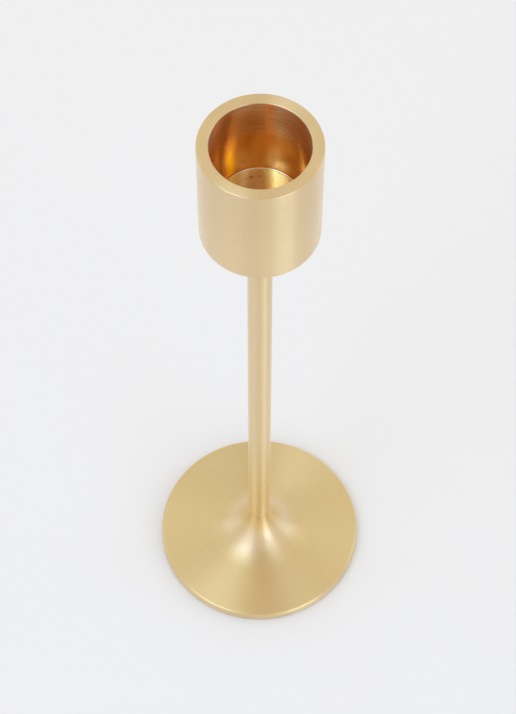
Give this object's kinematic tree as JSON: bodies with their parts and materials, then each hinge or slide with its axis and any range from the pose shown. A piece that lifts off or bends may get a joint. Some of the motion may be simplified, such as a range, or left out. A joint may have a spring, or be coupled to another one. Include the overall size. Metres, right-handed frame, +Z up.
{
  "type": "taper candle holder",
  "caption": "Turned brass holder for one taper candle: a thick-walled bored cup on a slim straight rod, screwed to a round foot with a flared neck.",
  "frame": {"origin": "centre of the underside of the pad, on the surface that the holder stands on", "axes": "+Z up along the common axis of cup, stem and foot; X and Y are free, because the outside is a body of revolution"},
  "size_m": [0.0556, 0.0556, 0.19],
  "materials": {
    "turned_brass": "satin, turned round the axis outside and polished in the candle bore",
    "zinc_steel": "bright zinc plate",
    "grey_felt": "pressed wool felt"
  },
  "bodies": {
    "root": {"candle_cup": "turned_brass", "cup_stud": "zinc_steel", "stem": "turned_brass", "foot": "turned_brass", "flat_washer": "zinc_steel", "spring_washer": "zinc_steel", "foot_screw": "zinc_steel", "base_pad": "grey_felt"}
  },
  "joints": []
}
